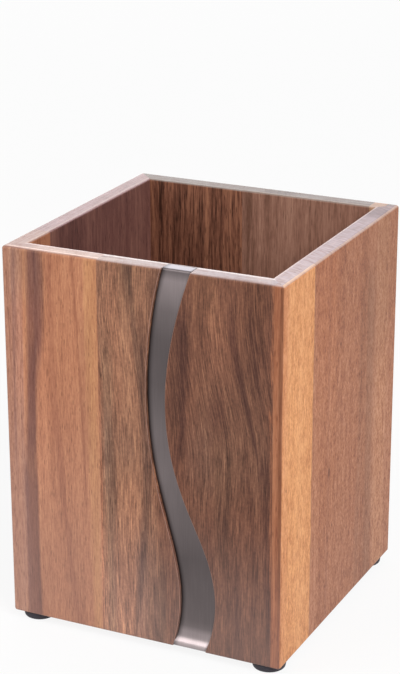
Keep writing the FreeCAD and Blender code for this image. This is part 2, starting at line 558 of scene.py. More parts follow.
        # painted light: paler and greyer towards the foot, as light from the pale floor
        haze = self.ease(self.share, 0.0, finish.haze_reach, finish.foot_haze, 0.0)
        colour = self.blend(haze, colour, self.HAZE)
        up = self.split(self.add("ShaderNodeNewGeometry").outputs["Normal"])[2]
        end_share = self.ease(self.math("ABSOLUTE", up), *finish.end_turn)
        end_colour = self._end_grain()
        sheen = self.combine(1.0, 1.0, 1.0)
        for streak in finish.end_streaks:
            end_colour = self._with_streak(end_colour, streak)
            sheen = self._with_streak(sheen, streak)
        colour = self.blend(end_share, colour, end_colour)
        # paler outer arrises: rubbed wear and painted highlight
        colour = self.blend(self._worn_edges(), colour, toned(finish.wood.pale, *self.WORN_TONE))
        # painted highlights: pale lines along the rim's outer and inner arris
        outer, inner = self._rim_arrises()
        colour = self.blend(outer, colour, finish.arris)
        colour = self.blend(inner, colour, finish.arris_inner or finish.arris)
        level = self.add("ShaderNodeSeparateColor", {0: sheen}).outputs[1]
        self._lacquer(colour, pores, self.math("MULTIPLY", end_share, level))

    def _grain_line(self) -> Socket:
        """Takes the bow and the wandering of the grain out of the place across the stave.

        Returns:
            The place across the grain.
        """
        finish = self.finish
        sway = self._read(self.SWAY, self.across)
        grain = self.swayed(self.across, [(sway, 2.0 * finish.wander)])
        rise = self.ease(self.share, *self.BOW_SHARES)
        bow = self.ease(self.across, 0.0, self.BOW_REACH, finish.bow_left, finish.bow_right)
        return self.math("MULTIPLY_ADD", rise, bow, grain)

    def _figure(self) -> Socket:
        """Adds up bands, growth lines, fibres, speckle and soft clouds.

        Returns:
            The wood's colour.
        """
        finish = self.finish
        layers = (
            (self.band, self.BAND_WEIGHT * finish.band_contrast),
            (self.line, self.LINE_WEIGHT * finish.line_contrast),
            (self.fibre, finish.fibre_contrast),
            (self._read(self.SPECKLE, self.across), finish.speckle_contrast),
            (self._read(self.MOTTLE, self.grain), finish.mottle_contrast),
        )
        tones = (finish.wood.dark, finish.wood.middle, finish.wood.pale)
        return self.ramp(self.swayed(0.5, layers), tuple(zip(self.TONE_STOPS, tones)))

    def _with_streak(self, colour: Socket, streak: Streak) -> Socket:
        """Lays one streak over the wood.

        Args:
            colour: the wood below it.
            streak: its course and tint.

        Returns:
            The wood with the streak.
        """
        linear = 4.0 * streak.middle - 3.0 * streak.low - streak.high
        square = 2.0 * (streak.low + streak.high) - 4.0 * streak.middle
        course = self.math("MULTIPLY_ADD", self.share, square, linear)
        course = self.math("MULTIPLY_ADD", self.share, course, streak.low)
        place = self.math("MULTIPLY_ADD", self.edge, streak.ragged, self.across)
        gap = self.math("ABSOLUTE", self.math("SUBTRACT", place, course))
        inner = max(streak.half_width - streak.softness, 0.0)
        mask = self.ease(gap, inner, streak.half_width + streak.softness, 1.0, 0.0)
        ends = []
        if streak.from_share >= 0.0:
            ends.append((streak.from_share, 0.0, 1.0))
        if streak.to_share <= 1.0:
            ends.append((streak.to_share, 1.0, 0.0))
        for middle, below, above in ends:
            low, high = middle - streak.fade, middle + streak.fade
            mask = self.math("MULTIPLY", mask, self.ease(self.share, low, high, below, above))
        return self.blend(mask, colour, streak.tint, mode="MULTIPLY")

    def _pores(self) -> Socket:
        """Open pores, seen as short dark dashes along the grain.

        Returns:
            1 in a pore and 0 beside it.
        """
        size = (self.finish.fleck_width, self.PORE_DEPTH, self.finish.fleck_length)
        inputs = {"Vector": self._place(self.grain, *size), "Scale": 1.0}
        cells = self.add("ShaderNodeTexVoronoi", inputs, feature="F1")
        pick = self.add("ShaderNodeSeparateColor", {0: cells.outputs["Color"]}).outputs[0]
        reach = self.ease(pick, *self.PORE_PICK, 0.0, self.PORE_SIZE)
        core = self.math("MULTIPLY", reach, self.PORE_CORE)
        return self.ease(cells.outputs["Distance"], core, reach, 1.0, 0.0)

    def _with_knot(self, colour: Socket, knot: Knot) -> Socket:
        """Lays one pin knot, a dark core in a soft halo, over the wood.

        Args:
            colour: the wood below it.
            knot: its place and size.

        Returns:
            The wood with the knot.
        """
        spans = (
            (self.across, knot.across, knot.half_width),
            (self.height, knot.height, knot.half_height),
        )
        side, rise = (
            self.math("POWER", self.math("DIVIDE", self.math("SUBTRACT", at, middle), half), 2.0)
            for at, middle, half in spans
        )
        reach = self.math("SQRT", self.math("ADD", side, rise))
        dark = self.finish.wood.dark
        halo, core = (self.ease(reach, *band, 0.0) for band in (self.KNOT_HALO, self.KNOT_CORE))
        return self.blend(core, self.blend(halo, colour, dark), toned(dark, self.KNOT_SHADE))

    def _end_grain(self) -> Socket:
        """The sawn ends of the fibres, on the rim and on the underside.

        Returns:
            Their colour.
        """
        finish = self.finish
        slant = self.math("MULTIPLY_ADD", self.depth, self.RAY_SLANT, self.across)
        layers = (
            (self._read(self.RINGS, self.across), finish.end_rings),
            (self._read(self.RAYS, slant), finish.end_rays),
            (self._read(self.PATCHES, self.across), self.PATCH_WEIGHT),
        )
        shade = self.ramp(self.swayed(0.5, layers), self.END_SHADES)
        far = self.ease(self.across, -HALF, HALF)
        # the end colours hold part of the lacquer's sheen as painted light
        colour = self.blend(far, finish.end, finish.end_far or finish.end)
        return self.blend(1.0, colour, shade, mode="MULTIPLY")

    def _worn_edges(self) -> Socket:
        """Where the outer arrises are paler, as rubbed wear and as painted highlight.

        Returns:
            How much of the paler edge shows.
        """
        side, face = (
            self.math("SUBTRACT", self.math("ABSOLUTE", part), HALF)
            for part in (self.across, self.depth)
        )
        middle = 0.5 * HEIGHT
        rise = self.math("ABSOLUTE", self.math("SUBTRACT", self.height, middle))
        rise = self.math("SUBTRACT", rise, middle)
        corner, rim = self.math("MINIMUM", side, face), self.math("MINIMUM", face, rise)
        rubbed = self.math(
            "MAXIMUM",
            self.ease(corner, *self.WORN_BAND, 0.0, self.WORN_UPRIGHT),
            self.ease(rim, *self.WORN_BAND, 0.0, self.WORN_LEVEL),
        )
        wear = self.finish.wear
        broken = self.ease(self.line, *self.WORN_BREAKS, self.WORN_LEAST * wear, wear)
        return self.math("MULTIPLY", rubbed, broken)

    def _rim_arrises(self) -> tuple[Socket, Socket]:
        """How much shows of the painted highlight lines along the rim's outer and inner arris.

        Returns:
            The outer and the inner line.
        """
        finish = self.finish
        place = self.math("ABSOLUTE", self.depth)
        top = self.ease(self.height, *(HEIGHT - below for below in self.RIM_BAND))
        broken = self.ease(self.line, *self.RIM_BREAKS, self.RIM_LEAST)
        shown = self.math("MULTIPLY", top, broken)
        core, edge = self.ARRIS_CORE * finish.line_width, self.ARRIS_EDGE * finish.line_width
        lines = []
        for middle, strength in (
            (HALF - finish.outer_line, finish.outer_wear),
            (HALF - WALL + finish.inner_line, finish.inner_wear),
        ):
            gap = self.math("ABSOLUTE", self.math("SUBTRACT", place, middle))
            mask = self.ease(gap, core, edge, strength, 0.0)
            lines.append(self.math("MULTIPLY", mask, shown))
        return lines[0], lines[1]

    def _lacquer(self, colour: Socket, pores: Socket, gloss: Socket) -> None:
        """Satin lacquer over the wood, with the grain just felt through it.

        Args:
            colour: the wood.
            pores: its open pores.
            gloss: how far the end grain's thicker lacquer shows.
        """
        rough = self.math("MULTIPLY_ADD", self.fibre, self.ROUGH_FIBRE, self.ROUGHNESS)
        inputs = {
            "Base Color": colour,
            "Roughness": self.math("MULTIPLY_ADD", pores, self.ROUGH_PORE, rough),
            "Coat Weight": self.math("MULTIPLY_ADD", gloss, self.finish.end_gloss, self.COAT),
        }
        relief = self.math("MULTIPLY", self.fibre, self.RELIEF_FIBRE)
        relief = self.math("MULTIPLY_ADD", pores, self.RELIEF_PORE, relief)
        self.surface(inputs | self.LACQUER, relief, *self.RELIEF)


@dataclass(frozen=True)
class SteelFinish:
    """Brushed dark steel, painted paler where it turns over the rim and under the wall, as
    highlights and reflections.

    The tones are levels of grey, from the foot of the wall (0) to its rim (1); they paint the
    bright band where the strip kicks out near the foot, the paler top and the darker run as
    reflections. The tab colour paints the paler sheen where the strip lies over the rim.
    Roughness is its least value and what the brushing adds, relief is its strength and depth,
    and a margin is where its painted shade beside the channel's walls begins and ends, and
    how dark it is.
    """

    name: str = "brushed_strip_steel"
    tint: Colour = (1.13, 0.95, 0.955)
    # painted sheen: the tab over the rim is paler than the run below it
    tab: Colour = (0.37, 0.345, 0.38)
    brush_size: Triple = (0.16, 9.0, 9.0)
    cloud_size: Triple = (9.0, 12.0, 26.0)
    brush_weight: float = 0.3
    cloud_weight: float = 0.35
    tab_turn: tuple[float, float] = (0.8, 0.98)
    roughness: tuple[float, float] = (0.28, 0.14)
    relief: tuple[float, float] = (0.25, 0.02)
    # painted shade beside the channel's walls: where it begins and ends, and how dark
    left_margin: Triple = (0.2, 2.6, 0.5)
    right_margin: Triple = (0.1, 1.2, 0.7)
    # painted light: these grey levels paint the strip's reflections and highlights by height
    tones: tuple[tuple[float, float], ...] = (
        (0.002, 0.25),
        (0.010, 0.37),
        (0.019, 0.48),
        (0.026, 0.48),
        (0.032, 0.28),
        (0.046, 0.27),
        (0.063, 0.155),
        (0.08, 0.13),
        (0.25, 0.10),
        (0.45, 0.16),
        (0.57, 0.146),
        (0.70, 0.105),
        (0.82, 0.107),
        (0.89, 0.145),
        (0.97, 0.25),
        (0.995, 0.13),
    )

    def material(self) -> bpy.types.Material:
        """Builds the brushed steel.

        Returns:
            The material.
        """
        material = new_material(self.name)
        pen = NodeWriter(material.node_tree)
        place = pen.millimetres()
        brush, cloud = (
            pen.noise(pen.cells(place, size)) for size in (self.brush_size, self.cloud_size)
        )
        share = pen.math("DIVIDE", place[2], HEIGHT)
        colour = pen.ramp(share, [(at, toned(self.tint, level)) for at, level in self.tones])
        normal = pen.split(pen.add("ShaderNodeNewGeometry").outputs["Normal"])
        # painted sheen: the up-facing tab takes the paler tab colour
        colour = pen.blend(pen.ease(normal[2], *self.tab_turn), colour, self.tab)
        shade = pen.swayed(1.0, ((brush, self.brush_weight), (cloud, self.cloud_weight)))
        # painted shade along both sides of the strip
        shade = pen.math("MULTIPLY", shade, self._margins(pen))
        inputs = {
            "Base Color": pen.blend(1.0, colour, pen.combine(shade, shade, shade), "MULTIPLY"),
            "Metallic": 1.0,
            "Roughness": pen.math("MULTIPLY_ADD", brush, self.roughness[1], self.roughness[0]),
        }
        pen.surface(inputs, brush, *self.relief)
        return material

    def _margins(self, pen: NodeWriter) -> Socket:
        """Painted shade: darker margins beside the channel's walls.

        Args:
            pen: writer of the material's tree.

        Returns:
            The steel's share of its own brightness.
        """
        inset = pen.split(pen.add("ShaderNodeAttribute", attribute_name="inset").outputs[1])
        margins = zip(inset, (self.left_margin, self.right_margin))
        shades = (pen.ease(gap, low * MM, high * MM, dark) for gap, (low, high, dark) in margins)
        return pen.math("MULTIPLY", *shades)


@dataclass(frozen=True)
class MouldedFinish:
    """Rubber or film with a fine moulded surface, and dust in wider clouds."""

    name: str
    colour: Colour
    roughness: float = 0.62
    grain_size: float = 0.35
    dust_share: float = 0.06
    dust_tones: tuple[tuple[float, float], ...] = ((0.3, 0.8), (0.75, 1.35))
    rough_swing: float = 0.2
    relief: tuple[float, float] = (0.3, 0.05)

    def material(self) -> bpy.types.Material:
        """Builds the moulded surface.

        Returns:
            The material.
        """
        material = new_material(self.name)
        pen = NodeWriter(material.node_tree)
        place = pen.add("ShaderNodeTexCoord").outputs["Object"]
        noises = []
        for scale, detail in ((1.0 / (self.grain_size * MM), 2.0), (self.dust_share, 1.0)):
            place = pen.add("ShaderNodeMapping", {0: place, "Scale": (scale,) * 3}).outputs[0]
            noises.append(pen.noise(place, detail))
        fine, dust = noises
        stops = [(at, toned(self.colour, level)) for at, level in self.dust_tones]
        least = self.roughness - 0.5 * self.rough_swing
        rough = pen.math("MULTIPLY_ADD", fine, self.rough_swing, least)
        pen.surface({"Base Color": pen.ramp(dust, stops), "Roughness": rough}, fine, *self.relief)
        return material


# paler than the stave's wood, in part as painted sheen of the lacquer
WARM_END: Colour = (0.51, 0.305, 0.237)

front_wood = partial(WoodFinish, end_turn=(0.66, 0.9))
right_wood = partial(
    WoodFinish, along=Along.Y, end_far=(0.22, 0.11, 0.125), end_rays=1.5, end_rings=0.5
)
back_wood = partial(WoodFinish, end=(0.206, 0.149, 0.127), end_gloss=0.4, outer_wear=0.0)
left_wood = partial(WoodFinish, along=Along.Y)

STAVE_FINISHES: dict[str, WoodFinish] = {
    "front_stave_left": front_wood(
        "orange_heartwood_stave", Palette.ORANGE, seed=3.1, end=WARM_END,
        end_streaks=(
            upright(-54.5, 6.5, (0.80, 0.76, 0.80), 2.5),
            upright(-22.0, 4.0, (1.02, 1.06, 1.09), 3.0),
        ),
        arris=(0.86, 0.58, 0.48), arris_inner=(0.90, 0.70, 0.66), outer_line=1.8,
        band_contrast=0.45, line_contrast=0.55, fibre_contrast=1.3, speckle_contrast=0.5,
        wander=1.6, fibre_width=0.52, fibre_length=6.0, haze_reach=0.8, fleck_strength=0.42,
        fleck_length=4.0,
        streaks=(
            Streak(-57.0, -56.0, -57.0, 5.0, (1.0, 1.14, 1.38), 2.0),
            upright(-50.0, 8.0, (0.95, 1.03, 1.05), 3.0, from_share=0.88, fade=0.07),
            Streak(
                -49.3, -49.6, -49.4, 3.0, (0.50, 0.485, 0.61), 0.9, 0.6, to_share=0.43, fade=0.07
            ),
            Streak(-55.9, -48.7, -46.85, 2.0, (0.44, 0.42, 0.56), 1.1, 0.5, 0.43, 0.78, 0.07),
            Streak(
                -55.9, -48.7, -46.85, 2.0, (0.52, 0.50, 0.65), 1.1, 0.5, from_share=0.78, fade=0.07
            ),
            Streak(
                -78.7, -50.4, -44.5, 1.6, (0.53, 0.52, 0.67), 1.2, 0.5, from_share=0.70, fade=0.08
            ),
            Streak(-53.0, -53.0, -52.5, 2.2, (1.12, 1.11, 1.11), 1.2, 0.6, 0.6, 0.9, 0.05),
            Streak(-43.6, -43.6, -41.5, 2.6, (1.11, 1.11, 1.11), 1.4, 0.8, 0.36, 0.78, 0.05),
            upright(-44.0, 3.4, (0.90, 0.88, 0.89), 1.6, 0.8, to_share=0.18, fade=0.06),
            upright(-40.5, 2.0, (0.94, 0.92, 0.93), 1.4, 1.0, from_share=0.9, fade=0.05),
            Streak(-53.3, -52.9, -50.9, 0.5, (0.88, 0.88, 0.92), 0.6),
            Streak(-56.8, -56.4, -55.0, 0.7, (0.72, 0.71, 0.79), 0.8, from_share=0.42, fade=0.09),
            upright(-55.7, 2.0, (0.91, 0.90, 0.91), 1.0, to_share=0.36, fade=0.08),
            Streak(-28.5, -37.0, -38.0, 1.4, (0.84, 0.79, 0.81), 1.1, 0.8),
            Streak(-37.6, -39.5, -41.0, 1.0, (0.91, 0.87, 0.87), 1.0, 1.2, 0.34, 0.72, 0.06),
            Streak(
                -31.0, -31.5, -32.0, 3.4, (0.90, 0.89, 0.90), 1.6, 1.0, to_share=0.29, fade=0.05
            ),
            Streak(
                -25.0, -25.0, -29.0, 0.55, (0.78, 0.72, 0.73), 0.5, 0.3, from_share=0.3, fade=0.06
            ),
            upright(-22.6, 2.9, (0.88, 0.87, 0.88), 1.8, 1.0, 0.46, 0.84, 0.05),
            Streak(-19.6, -19.8, -20.0, 2.2, (1.05, 1.12, 1.0), 1.6),
        ),
    ),
    "front_stave_wide": front_wood(
        "brown_figured_stave", Palette.BROWN, seed=7.4, end=(0.49, 0.33, 0.275),
        end_far=(0.335, 0.228, 0.235),
        end_streaks=(
            upright(-15.0, 3.5, (1.14, 1.18, 1.14), 2.0),
            upright(16.0, 7.0, (1.11, 1.11, 1.12), 2.5),
            upright(49.0, 5.0, (1.10, 1.06, 0.98), 2.5),
        ),
        arris=(0.60, 0.47, 0.44), arris_inner=(0.80, 0.69, 0.67), outer_line=0.9, inner_line=1.5,
        outer_wear=0.35, band_contrast=0.3, line_contrast=0.3, fibre_contrast=1.4,
        speckle_contrast=0.5, band_width=5.0, band_length=75.0, bow_left=3.5, bow_right=9.0,
        wander=3.0, fibre_width=0.5, fibre_length=9.0, fleck_width=0.72, fleck_length=6.0,
        streaks=(
            Streak(-3.5, -8.0, -5.0, 14.5, (1.68, 1.9, 1.87), 2.0, 0.3),
            Streak(-14.0, -13.8, -16.8, 2.0, (0.78, 0.85, 0.88), 1.6, 1.0, to_share=0.8),
            Streak(-11.5, -11.5, -12.5, 3.6, (1.22, 1.20, 1.17), 2.5, 1.0, 0.6, 0.95),
            Streak(-8.0, -9.0, -9.0, 11.0, (1.6, 1.6, 1.62), 3.0, 1.5, to_share=0.25, fade=0.25),
            upright(-8.0, 4.6, (0.82, 0.81, 0.83), 2.0, 1.2, 0.1, 0.27),
            upright(-3.5, 2.4, (1.12, 1.1, 1.08), 2.0, 1.0, 0.3, 0.44),
            upright(-5.0, 5.0, (0.86, 0.88, 0.88), 2.5, 1.5, from_share=0.88),
            upright(-6.0, 5.0, (0.84, 0.87, 0.92), 2.5, 1.5, 0.46, 0.58),
            Streak(-3.5, 2.3, -5.5, 1.6, (0.55, 0.56, 0.61), 1.4),
            Streak(1.8, 1.8, 1.6, 1.3, (0.60, 0.60, 0.64), 1.0, 0.6, 0.64, 0.86, 0.05),
            Streak(6.0, 6.0, 6.2, 2.8, (0.66, 0.66, 0.69), 1.8, 1.2, from_share=0.86),
            upright(2.5, 4.0, (0.68, 0.70, 0.78), 2.5, 1.6, to_share=0.28),
            Streak(8.5, 10.0, 10.0, 1.9, (0.66, 0.68, 0.72), 1.6, 1.0, to_share=0.24),
            Streak(-10.5, -12.0, -12.0, 1.3, (0.80, 0.80, 0.84), 1.2, 2.0, to_share=0.62),
            Streak(32.0, 32.5, 32.5, 6.0, (1.30, 1.33, 1.30), 3.0, 1.4, 0.7, 0.95),
            Streak(11.6, 14.0, 21.0, 4.4, (0.72, 0.72, 0.75), 2.4, 1.2, 0.62, 0.9),
            upright(25.0, 6.5, (0.93, 0.98, 1.04), 3.0, 1.6, 0.44, 0.62),
            Streak(31.0, 31.0, 30.0, 9.0, (1.14, 1.17, 1.16), 3.0, 1.4, 0.4, 0.64),
            Streak(-31.8, 13.8, 13.5, 1.9, (0.66, 0.62, 0.68), 1.8, 1.4, 0.5, 0.92),
            Streak(81.6, 53.4, 36.8, 1.6, (0.52, 0.48, 0.54), 1.4, 1.4, 0.5, 0.92),
            Streak(64.2, 54.9, 45.5, 1.4, (0.60, 0.57, 0.62), 1.3, 1.4, 0.7, 0.97),
            Streak(48.0, 48.0, 48.5, 5.0, (0.90, 0.89, 0.86), 2.5, 1.2, from_share=0.87),
            upright(47.0, 3.8, (0.78, 0.78, 0.80), 2.2, 1.2, 0.7, 0.87),
            Streak(33.5, 33.0, 32.0, 2.0, (0.80, 0.76, 0.80), 1.8, 2.0, 0.6, 0.72),
            Streak(34.5, 34.5, 33.5, 2.2, (0.76, 0.78, 0.80), 2.0, 1.4, 0.24, 0.58),
            Streak(47.0, 45.0, 46.0, 9.0, (1.12, 1.17, 1.17), 3.0, 1.5, 0.5, 0.64),
            Streak(57.0, 52.8, 52.4, 1.3, (0.68, 0.65, 0.70), 1.2, 1.2, to_share=0.5),
            Streak(42.0, 41.0, 42.0, 2.6, (0.80, 0.78, 0.82), 2.0, 1.4, to_share=0.25),
            Streak(50.0, 46.0, 34.0, 1.0, (0.74, 0.70, 0.72), 1.0, 1.6, to_share=0.6),
            upright(28.0, 5.0, (1.13, 1.17, 1.12), 2.0, 1.0, from_share=0.9),
            upright(-15.5, 2.2, (1.08, 1.13, 1.20), 1.4, 1.0, 0.38, 0.62),
            upright(2.0, 1.6, (1.11, 1.15, 1.20), 1.2, 0.6, 0.44, 0.58),
            upright(0.0, 2.4, (0.89, 0.91, 0.95), 1.5, 0.8, 0.12, 0.27),
            upright(24.0, 4.0, (0.90, 0.91, 0.93), 2.5, 1.0, 0.26, 0.38),
            upright(40.0, 15.0, (0.93, 0.98, 1.0), 4.0, 1.0, 0.42, 0.76),
            Streak(
                -18.1, -17.8, -18.6, 0.45, (1.3, 1.17, 1.10), 0.35, 0.2, to_share=0.78, fade=0.08
            ),
            upright(55.8, 0.45, (1.4, 1.28, 1.12), 0.25),
            Streak(54.5, 54.5, 54.3, 0.8, (0.84, 0.82, 0.84), 0.5, 0.3, to_share=0.9),
            Streak(42.3, 40.5, 38.0, 0.9, (0.80, 0.79, 0.82), 0.5, 0.5, to_share=0.27, fade=0.05),
            upright(35.3, 1.1, (0.80, 0.79, 0.81), 0.5, 0.6, 0.27, 0.42, 0.03),
            Streak(30.3, 30.3, 30.6, 0.9, (0.82, 0.81, 0.84), 0.5, 0.6, 0.1, 0.35, 0.04),
            Streak(49.0, 49.5, 50.0, 1.0, (0.86, 0.85, 0.87), 0.6, 0.6, 0.08, 0.34, 0.04),
            upright(37.0, 0.8, (0.88, 0.87, 0.88), 0.5, 0.5, 0.14, 0.28, 0.04),
            upright(45.0, 1.6, (1.08, 1.08, 1.08), 0.8, 0.6, to_share=0.22),
        ),
    ),
    "front_stave_edge": front_wood(
        "red_edge_stave", Palette.RED, seed=11.7, arris=(0.66, 0.48, 0.43),
        arris_inner=(0.80, 0.66, 0.62), outer_line=0.9, inner_line=1.5, outer_wear=0.5, wear=0.2,
        band_contrast=0.6, line_contrast=1.3,
        streaks=(
            # painted shade: darker line down the rounded front-right corner
            upright(59.4, 0.9, (0.62, 0.58, 0.55), 0.5),
            Streak(56.9, 57.4, 56.9, 0.5, (1.08, 1.08, 1.06), 0.5, 0.4),
            upright(58.0, 4.0, (1.10, 1.05, 1.0), 2.0, to_share=0.2),
        ),
    ),
    "right_stave_front": right_wood(
        "honey_sapwood_stave", Palette.HONEY, seed=15.2,
        end_streaks=(upright(-45.0, 22.0, (1.09, 1.12, 1.12), 2.0),),
        arris=(0.76, 0.47, 0.32), arris_inner=(0.66, 0.47, 0.43), outer_line=0.7, inner_wear=0.85,
        line_width=0.9, band_contrast=0.4, line_contrast=0.3, fibre_contrast=1.5,
        speckle_contrast=1.15, mottle_contrast=0.72, fibre_length=4.5, fleck_strength=0.22,
        fleck_length=2.2, foot_haze=0.04,
        streaks=(
            upright(-58.5, 3.0, (0.91, 0.84, 0.86), 2.5),
            upright(-50.0, 25.0, (0.94, 0.92, 0.92), 5.0, from_share=0.8, fade=0.18),
            # painted shade: darker line down the rounded front-right corner
            upright(-60.0, 1.1, (0.72, 0.68, 0.74), 0.6),
            upright(-50.0, 4.0, (1.04, 1.05, 1.05), 2.0, to_share=0.75),
            upright(-30.4, 1.1, (0.62, 0.60, 0.76), 0.35),
            upright(-57.5, 3.5, (0.93, 0.90, 0.92), 2.0, from_share=0.75, fade=0.2),
        ),
        knots=(Knot(-56.0, 75.0, 0.4, 0.7),),
    ),
    "right_stave_wide": right_wood(
        "pink_brown_stave", Palette.PINK, seed=19.6,
        end_streaks=(
            upright(0.0, 30.0, (1.04, 1.05, 1.07), 3.0),
            # a darker, duller band on the rim towards the back corner
            upright(46.0, 6.0, (0.68, 0.64, 0.64), 5.0, 1.5),
            upright(57.0, 4.0, (0.95, 0.86, 0.74), 2.0),
        ),
        arris=(0.58, 0.37, 0.28), arris_inner=(0.56, 0.38, 0.35), outer_line=0.5, outer_wear=0.85,
        inner_wear=0.75, line_width=0.8, band_contrast=0.45, line_contrast=0.4,
        fibre_contrast=1.4, speckle_contrast=1.45, mottle_contrast=0.74, band_width=14.0,
        fibre_length=5.0, fleck_strength=0.4, fleck_length=2.8, foot_haze=0.04,
        streaks=(
            Streak(26.5, 27.5, 28.5, 10.0, (0.91, 0.915, 0.92), 2.5, to_share=0.88),
            Streak(31.5, 31.5, 30.0, 4.4, (0.85, 0.86, 0.87), 2.0, 1.5, to_share=0.86),
            upright(19.8, 1.6, (0.93, 0.93, 0.94), 1.2, 0.8, to_share=0.8),
            upright(0.0, 70.0, (0.90, 0.88, 0.86), 2.0, from_share=0.78, fade=0.2),
            Streak(-17.0, -17.0, -19.0, 12.0, (1.02, 0.96, 0.91), 5.0, from_share=0.7, fade=0.2),
            Streak(-13.0, -13.5, -15.0, 1.2, (0.85, 0.82, 0.84), 1.2, 1.5),
            upright(-18.0, 11.0, (1.02, 0.99, 0.94), 4.0, from_share=0.25, fade=0.2),
            Streak(44.5, 44.5, 44.0, 6.5, (1.07, 1.16, 1.18), 2.5),
            upright(45.0, 5.0, (1.08, 1.08, 1.07), 2.0, 1.0, to_share=0.62, fade=0.1),
            upright(36.0, 18.0, (0.90, 0.88, 0.86), 4.0, from_share=0.62, fade=0.16),
        ),
        knots=(
            Knot(-12.5, 65.5, 0.75, 2.6),
            Knot(-2.5, 117.0, 0.4, 1.0),
            Knot(-8.5, 41.0, 0.4, 0.8),
            Knot(-28.0, 119.0, 0.3, 0.8),
        ),
    ),
    "back_stave_left": back_wood(
        "brown_back_stave", Palette.BROWN.scaled(1.0, 1.3, 1.2), seed=23.0,
        arris=(0.30, 0.24, 0.21), band_contrast=0.5, line_contrast=1.5, fibre_contrast=1.4,
    ),
    "back_stave_right": back_wood(
        "warm_brown_back_stave", Palette.WARM_BROWN, seed=27.5, arris=(0.30, 0.22, 0.18),
        band_contrast=0.6, line_contrast=1.1, fibre_contrast=1.3, fleck_strength=0.35,
    ),
    "back_stave_pale": WoodFinish(
        "pale_back_stave", Palette.TAN, seed=31.0, end=(0.43, 0.235, 0.145), end_gloss=0.4,
        arris=(0.50, 0.33, 0.25), outer_wear=0.3,
    ),
    "back_stave_edge": WoodFinish(
        "brown_edge_stave", Palette.PINK.darker(0.8), seed=35.3, end=(0.13, 0.085, 0.075),
        end_gloss=0.5, arris=(0.24, 0.16, 0.13),
    ),
    "left_stave_front": left_wood(
        "orange_side_stave", Palette.ORANGE, seed=39.9, end=toned(WARM_END, 0.84),
        end_streaks=(upright(-47.0, 14.0, (0.93, 0.86, 0.88), 2.0),),
        arris=(0.60, 0.42, 0.36), arris_inner=(0.62, 0.40, 0.29), outer_wear=0.2, inner_line=0.9,
        inner_wear=0.5, line_width=0.8, band_contrast=0.5, line_contrast=0.5,
    ),
    "left_stave_wide": left_wood(
        "plum_heartwood_stave", Palette.PLUM.scaled(1.8, 1.65, 1.6), seed=43.4,
        end=(0.31, 0.152, 0.152), arris=(0.50, 0.30, 0.25), outer_wear=0.1, inner_line=1.3,
        inner_wear=0.45, line_width=1.0, band_width=12.0,
    ),
}


def link(piece: bpy.types.Object) -> bpy.types.Object:
    """Puts a new object into the scene."""
    bpy.context.scene.collection.objects.link(piece)
    return piece


def dress(piece: bpy.types.Object, material: bpy.types.Material) -> None:
    """Gives a piece one material in place of what it had."""
    piece.data.materials.clear()
    piece.data.materials.append(material)


def bevel(
    worker: bpy.types.Object, width: float, segments: int, limit: str, **settings: object
) -> None:
    """Rounds an object's edges.

    Args:
        worker: the object.
        width: how far the rounding reaches, in millimetres.
        segments: its number of steps.
        limit: Blender's name of what picks the edges.
        settings: other attributes of the modifier.
    """
    rounding = worker.modifiers.new("rounding", "BEVEL")
    rounding.width = width * MM
    rounding.segments = segments
    rounding.limit_method = limit
    for name, value in settings.items():
        setattr(rounding, name, value)


def settled(worker: bpy.types.Object, name: str) -> bpy.types.Object:
    """Turns an object with live modifiers into a plain mesh piece at the origin.

    Args:
        worker: the object whose modifiers make the shape.
        name: the finished piece's name.

    Returns:
        The finished piece.
    """
    graph = bpy.context.evaluated_depsgraph_get()
    mesh = bpy.data.meshes.new_from_object(worker.evaluated_get(graph))
    mesh.name = name
    if mesh.materials and not mesh.materials[0]:
        mesh.materials.pop(index=0)
    piece = link(bpy.data.objects.new(name, mesh))
    bpy.data.objects.remove(worker)
    return piece


